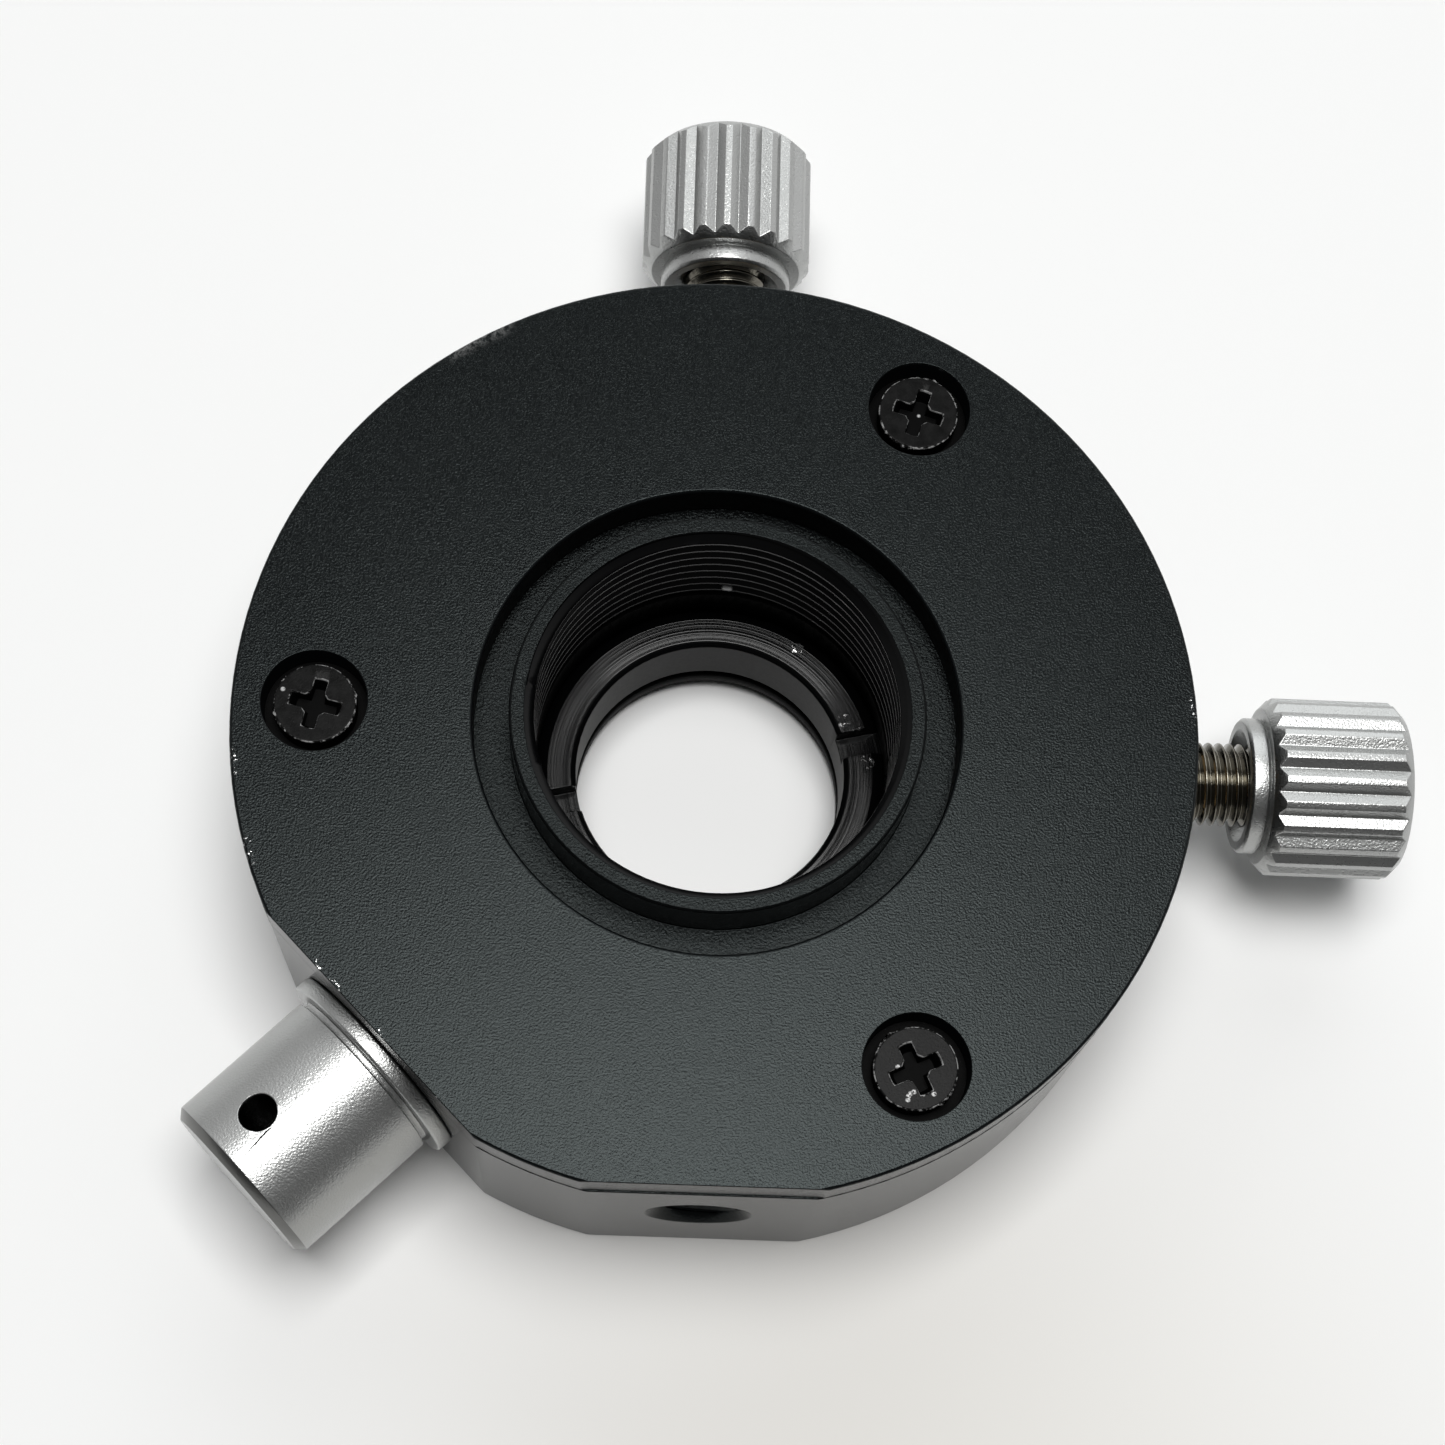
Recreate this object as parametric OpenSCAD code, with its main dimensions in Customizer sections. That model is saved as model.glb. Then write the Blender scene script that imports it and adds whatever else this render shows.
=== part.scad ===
// XY translating lens mount.
// The optical axis is Z, and the front face points to +Z. The origin is where the optical axis
// crosses the plane of the two adjusters and the spring plunger.
// Lengths are in millimetres.

/* [Body] */
// Outer diameter of the round body
body_d = 44; // [42:0.5:48]
// Thickness of the body with its cover plate
body_t = 14; // [13:0.5:18]
// Thickness of the cover plate
cover_t = 2; // [1.8:0.1:2.5]
// Thickness of the housing's floor at the back
floor_t = 2; // [1.5:0.1:2.5]
// Diameter of the round window in the cover and in the floor
window_d = 22.2; // [22:0.1:23]
// Diameter of the pocket that the cell moves in
pocket_d = 31.2; // [31:0.1:32]
// Break on the edges of the two faces
edge_break = 0.1; // [0.1:0.05:0.4]

/* [Flats] */
// Distance from the optical axis to the housing's foot flat
foot_flat = 21.42; // [21:0.02:21.6]
// How far the cover's foot flat lies inside the housing's
cover_step = 0.08; // [0:0.02:0.2]
// Distance from the optical axis to the flat that carries the plunger
plunger_flat = 20.92; // [20.8:0.01:21.4]

/* [Post hole] */
// Bore of the tapped hole in the foot flat
post_bore_d = 3.3; // [3:0.1:3.5]
// Diameter of the hole's countersunk mouth
post_mouth_d = 4.84; // [4.2:0.02:5.2]
// Depth of the hole
post_depth = 4.9; // [4:0.1:5.2]

/* [Lens cell] */
// Diameter of the cell's flange, inside the pocket
flange_d = 28; // [27.5:0.1:28.2]
// Running gap between the flange and the plates
flange_gap = 0.05; // [0.02:0.01:0.1]
// Outer diameter of the lip in front and the boss behind
lip_d = 18.9; // [18.5:0.1:19.1]
// Height of the lip above the cover's face
lip_rise = 0.8; // [0:0.1:1]
// Width of the countersink inside the lip
lip_chamfer = 0.45; // [0.2:0.05:0.6]
// Bore of the front thread
cell_bore_d = 16.66; // [16.4:0.02:17]
// Depth of the front thread below the origin's plane
cell_bore_end = 0.7; // [0.5:0.1:1]
// Bore of the seat that the retaining ring screws into
seat_d = 17.2; // [16.8:0.1:17.4]
// Thickness of the shoulder that the lens would rest on
shoulder_t = 0.8; // [0.6:0.1:1.2]
// How far the rear boss stays inside the back face
boss_inset = 1; // [0.5:0.1:1.5]
// Distance from the optical axis to the cell's bearing flats
cell_flat = 13.5; // [13:0.1:13.6]

/* [Retaining ring] */
// Clear aperture of the ring and the shoulder
aperture_d = 12.9; // [12:0.1:13.5]
// Thickness of the ring
ring_t = 3.7; // [2:0.1:3.9]
// Width of the spanner slots
slot_w = 1.25; // [1:0.05:1.5]
// Depth of the spanner slots
slot_depth = 1; // [0.6:0.1:1.5]
// Angle of the slots
slot_angle = 14; // [0:1:90]

/* [Adjusters] */
// Outer diameter of the fine thread
thread_d = 4; // [3.8:0.1:4.2]
// Ball tip diameter
ball_d = 3; // [2.5:0.1:3.2]
// Distance from the optical axis to the knob's collar
collar_at = 25.3; // [25:0.1:26.5]
// Collar diameter
collar_d = 6.5; // [6:0.1:7]
// Collar length
collar_len = 0.95; // [0.8:0.05:1.2]
// Knob diameter over the flutes' crests
knob_d = 8.5; // [8:0.1:9.5]
// Knob length without its collar
knob_len = 6.6; // [6:0.1:8]
// Chamfer on both ends of the knob
knob_chamfer = 0.5; // [0.3:0.05:0.7]
// Number of flutes
flutes = 22; // [18:1:26]
// Depth of a flute
flute_depth = 0.3; // [0.2:0.05:0.45]
// Width of a flute between its crests
flute_w = 0.95; // [0.8:0.05:1.1]

/* [Plunger] */
// Barrel diameter
barrel_d = 8.54; // [8:0.02:9]
// Barrel length beyond its flange
barrel_len = 7.7; // [7:0.05:8]
// Flange diameter
barrel_flange_d = 9.9; // [9.4:0.1:10.2]
// Flange thickness
barrel_flange_t = 0.78; // [0.7:0.02:1.2]
// Diameter of the screwed neck in the housing
neck_d = 6; // [5.6:0.1:6.4]
// Diameter of the cross hole for a turning bar
cross_hole_d = 1.75; // [1.5:0.05:2]
// Turn of the cross hole about the barrel's axis
cross_hole_turn = 13; // [0:1:30]
// Diameter of the pin's stem
pin_d = 3; // [2.6:0.1:3.2]
// Diameter of the spring wire
wire_d = 0.4; // [0.3:0.05:0.45]
// Number of turns in the spring
spring_turns = 6; // [5:1:7]

/* [Cover screws] */
// Radius of the circle that the screws lie on
screw_circle_r = 18.25; // [18:0.05:18.6]
// Head diameter
head_d = 3.76; // [3.6:0.02:4]
// Head height
head_h = 1.1; // [0.9:0.05:1.2]
// Diameter of the counterbore
counterbore_d = 4.8; // [4.4:0.1:5]
// Depth of the counterbore
counterbore_depth = 1.5; // [1.3:0.1:1.5]
// Length of the screw under its head
screw_len = 6; // [4:1:8]

/* [Hidden] */
$fn = 96;

// Overshoot of a cutting shape past the face that it cuts
cut = 1;

// Directions of the features round the optical axis
x_angle = 0;
y_angle = 90;
plunger_angle = 225;
foot_angle = 270;
screw_angles = [60, 180, 300];
// Turn of each screw's cross recess
cross_turns = [-16, -12, 25];

// Heights
body_r = body_d / 2;
back_z = -body_t / 2;
front_z = body_t / 2;
cover_z = front_z - cover_t;
floor_z = back_z + floor_t;
seam_break = 0.02;

// Lens cell
flange_top_z = cover_z - flange_gap;
flange_base_z = floor_z + flange_gap;
boss_z = back_z + boss_inset;
lip_z = front_z + lip_rise;
shoulder_z = boss_z + shoulder_t;
lip_break = 0.1;
ring_z = -1;
ring_chamfer = 0.75;
ring_bore_chamfer = 0.25;
ring_foot_break = 0.1;

// Bearing pads, which stand a little proud of the cell's flats
pad_d = 4.5;
pad_depth = 1.1;
pad_proud = 0.1;
pad_break = 0.15;
pad_face = cell_flat + pad_proud;

// Adjusters, measured outwards from the optical axis
touch_gap = 0.02;
thread_r = thread_d / 2;
ball_at = pad_face + touch_gap + ball_d / 2;
cup_gap = 0.02;
cup_grip = 0.4;
screw_tip = ball_at - cup_grip;
thread_in_knob = 5.7;
screw_end = collar_at + thread_in_knob;
screw_break = 0.3;
knob_at = collar_at + collar_len;
knob_end = knob_at + knob_len;
collar_break = 0.15;
// Turn of each knob's flutes as it stands
x_flute_turn = 4.6;
y_flute_turn = 6.3;
recess_w = 0.7;

// Bushings
bushing_d = 6;
bushing_gap = 0.03;
bushing_inner = pocket_d / 2 + 0.1;
bushing_proud = 0.2;
bushing_break = 0.15;
spotface_at = 21.4;
spotface_d = 7.6;
bushing_outer = spotface_at + bushing_proud;

// Plunger
neck_end = pocket_d / 2;
barrel_at = plunger_flat + barrel_flange_t;
barrel_end = barrel_at + barrel_len;
barrel_chamfer = 0.4;
undercut_w = 0.32;
undercut_depth = 0.25;
flange_break = 0.08;
chamber_d = 4.4;
chamber_start = 17.4;
chamber_end = 25.4;
guide_gap = 0.02;
cross_hole_at = 26.8;
pin_tip = cell_flat + touch_gap;
pin_collar_d = 4.2;
pin_collar_at = 18.95;
pin_collar_t = 0.8;
pin_end = 21.6;
pin_tail_d = 2.4;
spring_mean_r = 1.6;
spring_start = pin_collar_at + pin_collar_t;
spring_sides = 6;
spring_steps = 16;

// Cover screws
counterbore_z = front_z - counterbore_depth;
shank_d = 1.96;
cover_hole_d = 2.2;
tapped_d = 2;
tapped_depth = 1;
head_round = 0.1;
cross_w = 0.64;
cross_len = 2.45;
cross_depth = 0.8;
cross_floor_r = 0.95;
cross_middle_r = 0.62;
cross_middle_floor_r = 0.42;

// Turns a shape built along +Z so that it runs outwards at an angle round the optical axis
module outwards(angle) {
    rotate([0, 0, angle])
        rotate([0, 90, 0])
            children();
}

// A round bar along an outward axis, from one distance to another
module bar(angle, from, to, d) {
    outwards(angle)
        translate([0, 0, from])
            cylinder(d = d, h = to - from);
}

// A block that removes everything beyond a distance from the optical axis
module beyond(angle, distance) {
    rotate([0, 0, angle])
        translate([distance, -body_r, back_z - cut])
            cube([body_r, body_d, body_t + 2 * cut]);
}

// A round plate with the window in it, from the seam to a face whose edges are broken
module round_plate(seam_z, face_z) {
    window_r = window_d / 2;
    side = sign(face_z - seam_z);
    rotate_extrude()
        polygon([
            [window_r, seam_z],
            [body_r - seam_break, seam_z],
            [body_r, seam_z + side * seam_break],
            [body_r, face_z - side * edge_break],
            [body_r - edge_break, face_z],
            [window_r + edge_break, face_z],
            [window_r, face_z - side * edge_break]
        ]);
}

module housing() {
    color("#2b2d30")
        difference() {
            round_plate(cover_z, back_z);
            translate([0, 0, floor_z])
                cylinder(d = pocket_d, h = body_t);
            beyond(foot_angle, foot_flat);
            beyond(plunger_angle, plunger_flat);
            for (angle = [x_angle, y_angle]) {
                bar(angle, window_d / 2, body_r + cut, bushing_d);
                bar(angle, spotface_at, body_r + cut, spotface_d);
            }
            bar(plunger_angle, window_d / 2, body_r + cut, neck_d);
            post_hole();
            for (angle = screw_angles)
                rotate([0, 0, angle])
                    translate([screw_circle_r, 0, counterbore_z - screw_len - tapped_depth])
                        cylinder(d = tapped_d, h = body_t);
        }
}

// The tapped hole for a post, with its countersunk mouth
module post_hole() {
    mouth_depth = (post_mouth_d - post_bore_d) / 2;
    bar(foot_angle, foot_flat - post_depth, body_r + cut, post_bore_d);
    outwards(foot_angle)
        translate([0, 0, foot_flat - mouth_depth])
            cylinder(d1 = post_bore_d, d2 = post_mouth_d, h = mouth_depth);
}

module cover_plate() {
    color("#2b2d30")
        difference() {
            round_plate(cover_z, front_z);
            beyond(foot_angle, foot_flat - cover_step);
            beyond(plunger_angle, plunger_flat);
            for (angle = screw_angles)
                rotate([0, 0, angle])
                    translate([screw_circle_r, 0, 0]) {
                        translate([0, 0, counterbore_z])
                            cylinder(d = counterbore_d, h = body_t);
                        cylinder(d = cover_hole_d, h = body_t);
                    }
        }
}

// A screw with a rounded head and a cross recess
module cover_screw(index) {
    head_r = head_d / 2;
    color("#17181a")
        rotate([0, 0, screw_angles[index]])
            translate([screw_circle_r, 0, counterbore_z])
                difference() {
                    union() {
                        rotate_extrude()
                            union() {
                                square([head_r, head_h - head_round]);
                                square([head_r - head_round, head_h]);
                                translate([head_r - head_round, head_h - head_round])
                                    intersection() {
                                        circle(r = head_round);
                                        square(head_round);
                                    }
                            }
                        translate([0, 0, -screw_len])
                            cylinder(d = shank_d, h = screw_len);
                    }
                    rotate([0, 0, cross_turns[index] - screw_angles[index]])
                        translate([0, 0, head_h])
                            cross_recess();
                }
}

// The cross recess: two crossed slots with steep ends, opened out in the middle
module cross_recess() {
    intersection() {
        union() {
            for (turn = [0, 90])
                rotate([0, 0, turn])
                    translate([-cross_len / 2, -cross_w / 2, -cross_depth])
                        cube([cross_len, cross_w, cross_depth + cut]);
            funnel(cross_middle_floor_r, cross_middle_r);
        }
        funnel(cross_floor_r, cross_len / 2);
    }
}

// A cone from the recess's floor, with its stated radius at the head's face, that goes on above it
module funnel(floor_r, face_r) {
    translate([0, 0, -cross_depth])
        cylinder(r1 = floor_r, r2 = 2 * face_r - floor_r, h = 2 * cross_depth);
}

module lens_cell() {
    bore_r = cell_bore_d / 2;
    lip_r = lip_d / 2;
    flange_r = flange_d / 2;
    color("#2f3134")
        difference() {
            rotate_extrude()
                polygon([
                    [aperture_d / 2, boss_z],
                    [lip_r, boss_z],
                    [lip_r, flange_base_z],
                    [flange_r, flange_base_z],
                    [flange_r, flange_top_z],
                    [lip_r, flange_top_z],
                    [lip_r, lip_z - lip_break],
                    [lip_r - lip_break, lip_z],
                    [bore_r + lip_chamfer, lip_z],
                    [bore_r, lip_z - lip_chamfer],
                    [bore_r, -cell_bore_end],
                    [seat_d / 2, -cell_bore_end],
                    [seat_d / 2, shoulder_z],
                    [aperture_d / 2, shoulder_z]
                ]);
            for (angle = [x_angle, y_angle]) {
                beyond_cell(angle);
                bar(angle, cell_flat - pad_depth, cell_flat + cut, pad_d);
            }
            beyond_cell(plunger_angle);
        }
}

// Cuts a bearing flat on the cell's flange
module beyond_cell(angle) {
    rotate([0, 0, angle])
        translate([cell_flat, -flange_d / 2, flange_base_z - cut / 2])
            cube([flange_d, flange_d, flange_top_z - flange_base_z + cut]);
}

module retaining_ring() {
    ring_r = seat_d / 2;
    hole_r = aperture_d / 2;
    color("#3a3c40")
        difference() {
            rotate_extrude()
                polygon([
                    [hole_r + ring_foot_break, ring_z - ring_t],
                    [ring_r, ring_z - ring_t],
                    [ring_r, ring_z - ring_chamfer],
                    [ring_r - ring_chamfer, ring_z],
                    [hole_r + ring_bore_chamfer, ring_z],
                    [hole_r, ring_z - ring_bore_chamfer],
                    [hole_r, ring_z - ring_t + ring_foot_break]
                ]);
            rotate([0, 0, slot_angle])
                translate([-seat_d, -slot_w / 2, ring_z - slot_depth])
                    cube([2 * seat_d, slot_w, slot_depth + cut]);
        }
}

// A hard pad pressed into the cell for a ball tip to bear on
module pad(angle) {
    color("#b9bcc0")
        outwards(angle)
            rotate_extrude()
                polygon([
                    [0, cell_flat - pad_depth],
                    [pad_d / 2, cell_flat - pad_depth],
                    [pad_d / 2, pad_face - pad_break],
                    [pad_d / 2 - pad_break, pad_face],
                    [0, pad_face]
                ]);
}

// The threaded bushing, pressed into the housing
module bushing(angle) {
    bore_r = thread_r + bushing_gap;
    color("#b08d4a")
        outwards(angle)
            rotate_extrude()
                polygon([
                    [bore_r, bushing_inner],
                    [bushing_d / 2, bushing_inner],
                    [bushing_d / 2, bushing_outer - bushing_break],
                    [bushing_d / 2 - bushing_break, bushing_outer],
                    [bore_r + bushing_break, bushing_outer],
                    [bore_r, bushing_outer - bushing_break]
                ]);
}

// The fine-thread screw, with a cup that holds the ball past its middle
module adjuster_screw(angle) {
    color("#8d8a82")
        outwards(angle)
            difference() {
                rotate_extrude()
                    polygon([
                        [0, screw_tip],
                        [thread_r - screw_break, screw_tip],
                        [thread_r, screw_tip + screw_break],
                        [thread_r, screw_end],
                        [0, screw_end]
                    ]);
                translate([0, 0, ball_at])
                    sphere(r = ball_d / 2 + cup_gap);
            }
}

module ball(angle) {
    color("#c8cacc")
        outwards(angle)
            translate([0, 0, ball_at])
                sphere(d = ball_d);
}

// The knob: a collar, a chamfered body and straight V flutes
module knob(angle, flute_turn) {
    knob_r = knob_d / 2;
    collar_r = collar_d / 2;
    color("#b4b7ba")
        outwards(angle)
            difference() {
                rotate_extrude()
                    polygon([
                        [thread_r, collar_at + recess_w],
                        [thread_r + recess_w, collar_at],
                        [collar_r - collar_break, collar_at],
                        [collar_r, collar_at + collar_break],
                        [collar_r, knob_at - collar_break],
                        [collar_r - collar_break, knob_at],
                        [knob_r - knob_chamfer, knob_at],
                        [knob_r, knob_at + knob_chamfer],
                        [knob_r, knob_end - knob_chamfer],
                        [knob_r - knob_chamfer, knob_end],
                        [0, knob_end],
                        [0, screw_end],
                        [thread_r, screw_end]
                    ]);
                for (i = [0 : flutes - 1])
                    rotate([0, 0, flute_turn + i * 360 / flutes])
                        translate([0, 0, knob_at - cut / 4])
                            flute(knob_r);
            }
}

// A V groove along the knob
module flute(knob_r) {
    over = 0.3;
    half_w = flute_w / 2 * (flute_depth + over) / flute_depth;
    linear_extrude(knob_len + cut)
        polygon([
            [knob_r - flute_depth, 0],
            [knob_r + over, -half_w],
            [knob_r + over, half_w]
        ]);
}

module plunger_barrel() {
    barrel_r = barrel_d / 2;
    flange_r = barrel_flange_d / 2;
    chamber_r = chamber_d / 2;
    guide_r = pin_d / 2 + guide_gap;
    color("#c6c9cb")
        difference() {
            outwards(plunger_angle)
                rotate_extrude()
                    polygon([
                        [guide_r, neck_end],
                        [neck_d / 2, neck_end],
                        [neck_d / 2, plunger_flat],
                        [flange_r - flange_break, plunger_flat],
                        [flange_r, plunger_flat + flange_break],
                        [flange_r, barrel_at - flange_break],
                        [flange_r - flange_break, barrel_at],
                        [barrel_r - undercut_depth, barrel_at],
                        [barrel_r - undercut_depth, barrel_at + undercut_w],
                        [barrel_r, barrel_at + undercut_w],
                        [barrel_r, barrel_end - barrel_chamfer],
                        [barrel_r - barrel_chamfer, barrel_end],
                        [0, barrel_end],
                        [0, chamber_end],
                        [chamber_r, chamber_end],
                        [chamber_r, chamber_start],
                        [guide_r, chamber_start]
                    ]);
            outwards(plunger_angle)
                rotate([0, 0, cross_hole_turn])
                    translate([-barrel_d, 0, cross_hole_at])
                        rotate([0, 90, 0])
                            cylinder(d = cross_hole_d, h = 2 * barrel_d);
        }
}

// The pin: a domed nose on the cell, a stem in the barrel's guide and a collar under the spring
module plunger_pin() {
    pin_r = pin_d / 2;
    color("#a9abae")
        outwards(plunger_angle)
            rotate_extrude()
                union() {
                    translate([0, pin_tip + pin_r])
                        intersection() {
                            circle(r = pin_r);
                            translate([0, -pin_r])
                                square(pin_r);
                        }
                    translate([0, pin_tip + pin_r])
                        square([pin_r, pin_collar_at - pin_tip - pin_r]);
                    translate([0, pin_collar_at])
                        square([pin_collar_d / 2, pin_collar_t]);
                    translate([0, pin_collar_at + pin_collar_t])
                        square([pin_tail_d / 2, pin_end - pin_collar_at - pin_collar_t]);
                }
}

// One ring of points round the spring's wire, at a turn along the helix
function wire_ring(turn, low, rise) = [
    for (k = [0 : spring_sides - 1])
        let (
            around = 360 * k / spring_sides,
            reach = spring_mean_r + wire_d / 2 * cos(around),
            height = low + rise * turn + wire_d / 2 * sin(around)
        )
        [reach * cos(360 * turn), reach * sin(360 * turn), height]
];

// The compression spring, swept along a helix between the pin's collar and the chamber's end
module plunger_spring() {
    low = spring_start + wire_d / 2;
    high = chamber_end - wire_d / 2;
    rise = (high - low) / spring_turns;
    rings = spring_turns * spring_steps + 1;
    points = [
        for (i = [0 : rings - 1])
            each wire_ring(i / spring_steps, low, rise)
    ];
    sides = [
        for (i = [0 : rings - 2])
            for (k = [0 : spring_sides - 1])
                let (
                    a = i * spring_sides + k,
                    b = i * spring_sides + (k + 1) % spring_sides
                )
                each [[a, a + spring_sides, b], [b, a + spring_sides, b + spring_sides]]
    ];
    first_cap = [for (k = [0 : spring_sides - 1]) k];
    last_cap = [for (k = [spring_sides - 1 : -1 : 0]) (rings - 1) * spring_sides + k];
    color("#9a9c9f")
        outwards(plunger_angle)
            polyhedron(points = points, faces = concat([first_cap, last_cap], sides));
}

housing();
cover_plate();
cover_screw(0);  // cover_screw_1
cover_screw(1);  // cover_screw_2
cover_screw(2);  // cover_screw_3
lens_cell();
retaining_ring();
pad(x_angle);  // x_pad
pad(y_angle);  // y_pad
bushing(x_angle);  // x_bushing
adjuster_screw(x_angle);  // x_adjuster_screw
knob(x_angle, x_flute_turn);  // x_knob
ball(x_angle);  // x_ball
bushing(y_angle);  // y_bushing
adjuster_screw(y_angle);  // y_adjuster_screw
knob(y_angle, y_flute_turn);  // y_knob
ball(y_angle);  // y_ball
plunger_barrel();
plunger_spring();
plunger_pin();
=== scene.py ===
# %% [markdown]
# # An XY lens mount
#
# The mount is a black anodised body that lies on its back. Its threaded cell slides sideways when
# one of two fluted knobs is turned, and a spring plunger pushes the cell back. The CAD frame gives
# each piece its size and its place. Here the pieces get what the frame leaves out: cut threads,
# broken edges, and the finish of each metal.

from math import pi, radians, tan

import bpy
from mathutils import Matrix, Vector


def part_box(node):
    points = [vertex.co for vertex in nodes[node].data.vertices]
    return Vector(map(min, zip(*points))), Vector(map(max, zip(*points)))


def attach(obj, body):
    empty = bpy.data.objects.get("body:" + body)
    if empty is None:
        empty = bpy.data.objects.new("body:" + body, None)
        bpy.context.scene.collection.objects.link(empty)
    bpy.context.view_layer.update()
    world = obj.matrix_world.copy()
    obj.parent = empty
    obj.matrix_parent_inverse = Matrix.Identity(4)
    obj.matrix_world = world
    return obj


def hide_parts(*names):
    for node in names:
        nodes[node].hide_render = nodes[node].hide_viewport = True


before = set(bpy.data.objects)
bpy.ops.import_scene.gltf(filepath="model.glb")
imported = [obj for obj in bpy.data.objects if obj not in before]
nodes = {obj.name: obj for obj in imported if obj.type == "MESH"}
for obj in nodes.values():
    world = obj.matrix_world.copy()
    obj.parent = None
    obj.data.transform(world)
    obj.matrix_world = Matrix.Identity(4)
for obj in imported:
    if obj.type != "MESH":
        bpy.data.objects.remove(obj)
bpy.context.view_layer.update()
mm = 0.001
print("CAD nodes:", len(nodes))

# %% [markdown]
# ## The sizes that the scene works from
#
# Each size could be typed in again, but most are read from the frame's boxes, so they can't drift
# away from the CAD. The rest are the thread forms, which the CAD leaves as plain cylinders, and a
# few radii that tell one wall from another.

# %% Sizes
body_low, body_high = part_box("housing")
cover_low, cover_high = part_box("cover_plate")
knob_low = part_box("x_knob")[0]
bushing_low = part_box("x_bushing")[0]
floor_z = body_low.z
front_z = cover_high.z
body_r = body_high.x
lip_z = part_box("lens_cell")[1].z
head_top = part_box("cover_screw_1")[1].z
plunger_flat = 20.92 * mm
diagonal = 0.5 ** 0.5  # the plunger lies along -X and -Y, with this share of each
print("body radius", body_r / mm, "front face", front_z / mm, "lip", lip_z / mm)

# %% [markdown]
# ## The camera
#
# The camera stands close above the mount and leans back by about 19 degrees, so that the far inside
# of the cell shows. It could be aimed by a constraint, but a few plain numbers are easier to read
# and to change. A camera this near makes near edges larger, and a 70 mm lens gives the same amount.
# The clip start is set low, because the default cuts away all that is nearer than 10 cm.

# %% Make the camera
camera_at = Vector((-4.36, -42.25, 127.43)) * mm
camera_tilt = (19.132, -2.700, 1.503)
focal_length = 70.15
film_width = 36

camera_data = bpy.data.cameras.new("camera")
camera_data.lens = focal_length
camera_data.sensor_width = film_width
camera_data.clip_start = 1 * mm
camera = bpy.data.objects.new("camera", camera_data)
camera.location = camera_at
camera.rotation_euler = [radians(angle) for angle in camera_tilt]
bpy.context.scene.collection.objects.link(camera)
bpy.context.scene.camera = camera
bpy.context.scene.view_settings.view_transform = "Standard"
print("camera height", round(camera_at.z / mm), "mm")

# %% [markdown]
# ## Shader maths as Python
#
# A material is a web of small nodes, and writing each one out by hand hides the idea. The class
# below wraps what a node gives out, so that `1 - wear` or `grain * 0.1` adds the Math nodes by
# itself.

# %% A value that knows arithmetic
class Value:
    """What a shader node gives out, ready for use in an expression."""

    def __init__(self, socket):
        self.socket = socket

    def math(self, operation, first, second):
        node = self.socket.id_data.nodes.new("ShaderNodeMath")
        node.operation = operation
        feed(first, node.inputs[0])
        feed(second, node.inputs[1])
        return Value(node.outputs[0])

    def __add__(self, other):
        return self.math("ADD", self, other)

    def __radd__(self, other):
        return self.math("ADD", other, self)

    def __sub__(self, other):
        return self.math("SUBTRACT", self, other)

    def __rsub__(self, other):
        return self.math("SUBTRACT", other, self)

    def __mul__(self, other):
        return self.math("MULTIPLY", self, other)

    def __rmul__(self, other):
        return self.math("MULTIPLY", other, self)

    def __pow__(self, other):
        return self.math("POWER", self, other)

    def at_least(self, other):
        return self.math("MAXIMUM", self, other)


def feed(given, socket):
    """Links a value to a socket, or sets the socket to a plain number, colour or direction."""
    if isinstance(given, Value):
        socket.id_data.links.new(given.socket, socket)
    else:
        socket.default_value = given


print("arithmetic ready")

# %% [markdown]
# Any other kind of node comes from one method, `add`, which sets its settings first and its inputs
# after. The methods below it are the few patterns that all the finishes share: random patches,
# spots at given places, a smooth step from one number to another, and a blend of two colours.

# %% A web of shader nodes
mix_first, mix_second, mix_result = 6, 7, 2  # a Mix node's colour sockets, among its other kinds


class Web:
    """The nodes of a material or of the room, with the place or direction that is being shaded."""

    def __init__(self, owner, place):
        owner.use_nodes = True
        self.nodes = owner.node_tree.nodes
        self.place = self.add("ShaderNodeTexCoord", output=place)
        self.x, self.y, self.z = self.parts(self.place)

    def add(self, kind, settings=None, inputs=None, output=0):
        """Any node: its settings are set first, then its inputs are fed."""
        node = self.nodes.new(kind)
        for setting, choice in (settings or {}).items():
            setattr(node, setting, choice)
        for socket, given in (inputs or {}).items():
            feed(given, node.inputs[socket])
        return Value(node.outputs[output])

    def parts(self, direction):
        """The X, Y and Z of a place or a direction."""
        node = self.nodes.new("ShaderNodeSeparateXYZ")
        feed(direction, node.inputs[0])
        return [Value(socket) for socket in node.outputs]

    def noise(self, size, detail=2.0, place=None, roughness=0.5):
        """Random patches of about the given size in metres, from 0 to 1."""
        inputs = {
            "Vector": place or self.place, "Scale": 1 / size,
            "Detail": detail, "Roughness": roughness,
        }
        return self.add("ShaderNodeTexNoise", inputs=inputs)

    def far_from(self, point):
        """The distance to a point."""
        inputs = {0: self.place, 1: point}
        return self.add("ShaderNodeVectorMath", {"operation": "DISTANCE"}, inputs, "Value")

    def near(self, point, reach):
        """1 at a point, going down to 0 at the given reach from it."""
        return self.ease(self.far_from(point), reach, reach * 0.5)

    def spots(self, places, reach):
        """The sum of a few such spots, whose places are in millimetres."""
        return sum(self.near([part * mm for part in place], reach) for place in places)

    def ease(self, value, start, end, low=0.0, high=1.0):
        """Goes smoothly from low to high while the value goes from start to end."""
        inputs = {
            "Value": value, "From Min": start, "From Max": end, "To Min": low, "To Max": high,
        }
        return self.add("ShaderNodeMapRange", {"interpolation_type": "SMOOTHSTEP"}, inputs)

    def blend(self, share, first, second):
        """A colour that goes from the first to the second as the share goes from 0 to 1."""
        inputs = {"Factor": share, mix_first: first, mix_second: second}
        return self.add("ShaderNodeMix", {"data_type": "RGBA"}, inputs, mix_result)


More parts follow.
